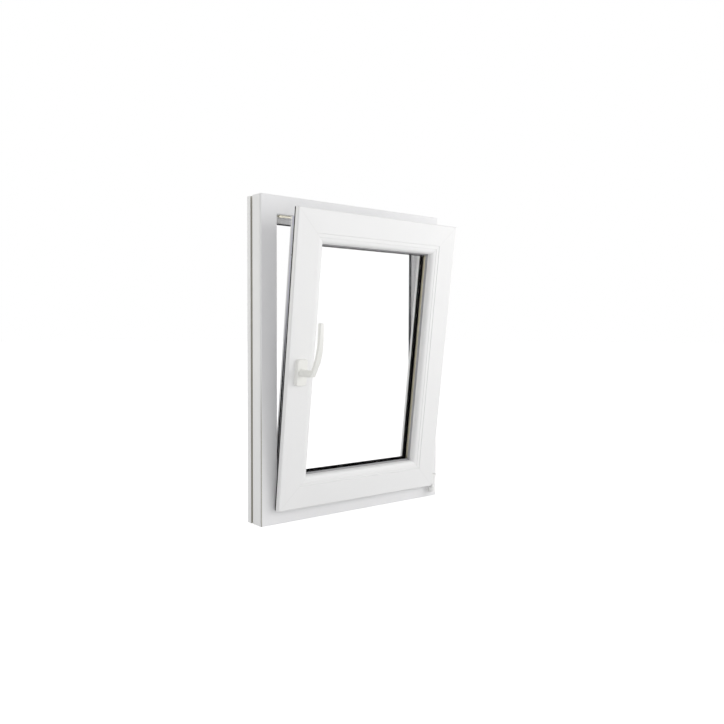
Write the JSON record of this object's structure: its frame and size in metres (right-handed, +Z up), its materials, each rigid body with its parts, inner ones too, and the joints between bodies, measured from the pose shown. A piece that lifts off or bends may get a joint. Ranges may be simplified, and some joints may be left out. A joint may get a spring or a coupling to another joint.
{
  "type": "tilt and turn window",
  "caption": "White plastic tilt and turn window with a tilted double glazed sash, turning handle, corner pivot hinge and stay, in a welded rebated frame.",
  "frame": {"origin": "middle of the sill's flat underside", "axes": "+Z up, +Y from the room to the outside, +X along the sill to the hinge side"},
  "size_m": [0.55, 0.2054, 0.75],
  "materials": {
    "frame_pvc": "satin extruded white",
    "sash_pvc": "satin extruded white",
    "bead_pvc": "satin extruded white",
    "seal_black": "matt",
    "gasket_grey": "matt",
    "glass": "clear float",
    "spacer_aluminium": "perforated mill finish",
    "hardware_steel": "zinc plated",
    "hinge_white": "powder coated white",
    "cap_white": "moulded white",
    "handle_white": "powder coated white"
  },
  "bodies": {
    "frame": {"frame_head": "frame_pvc", "frame_sill": "frame_pvc", "frame_left_jamb": "frame_pvc", "frame_right_jamb": "frame_pvc", "head_keep": "hardware_steel", "sill_tilt_keep": "hardware_steel", "left_jamb_keep": "hardware_steel", "stop_seal": "seal_black", "corner_bearing": "hinge_white", "stay_bearing": "hinge_white", "drain_caps": "cap_white"},
    "pivot": {"corner_pivot": "hardware_steel"},
    "sash": {"sash_top_rail": "sash_pvc", "sash_bottom_rail": "sash_pvc", "handle_stile": "sash_pvc", "hinge_stile": "sash_pvc", "bead_top": "bead_pvc", "bead_bottom": "bead_pvc", "bead_left": "bead_pvc", "bead_right": "bead_pvc", "inner_pane": "glass", "outer_pane": "glass", "glass_spacer": "spacer_aluminium", "bead_gasket": "gasket_grey", "outer_glazing_gasket": "seal_black", "handle_side_faceplate": "hardware_steel", "stay_rail": "hardware_steel", "bottom_faceplate": "hardware_steel", "overlap_seal": "seal_black", "locking_cams": "hardware_steel", "hinge_strap": "hinge_white", "handle_rosette": "handle_white"},
    "stay": {"stay_arm": "hardware_steel"},
    "handle": {"handle_neck": "handle_white", "handle_grip": "handle_white"}
  },
  "joints": [
    {"name": "sash_tilt", "type": "hinge", "parent": "frame", "child": "pivot", "pos_m": [0.25, -0.042, 0.028], "axis": [1, 0, 0], "range_deg": [-7, 0]},
    {"name": "sash_turn", "type": "hinge", "parent": "pivot", "child": "sash", "pos_m": [0.25, -0.042, 0.028], "axis": [0, 0.1219, -0.9925], "range_deg": [-90, 0]},
    {"name": "handle_turn", "type": "hinge", "parent": "sash", "child": "handle", "pos_m": [-0.209, -0.08768, 0.35084], "axis": [0, -0.9925, -0.1219], "range_deg": [-180, 0]},
    {"name": "stay_swing", "type": "hinge", "parent": "sash", "child": "stay", "pos_m": [0.00341, -0.08322, 0.702], "axis": [0, -0.061, 0.9981], "range_deg": [-19, 0.05]}
  ],
  "couplings": [
    {"joint": "stay_swing", "follows": "sash_tilt", "ratio": 2.7066}
  ]
}
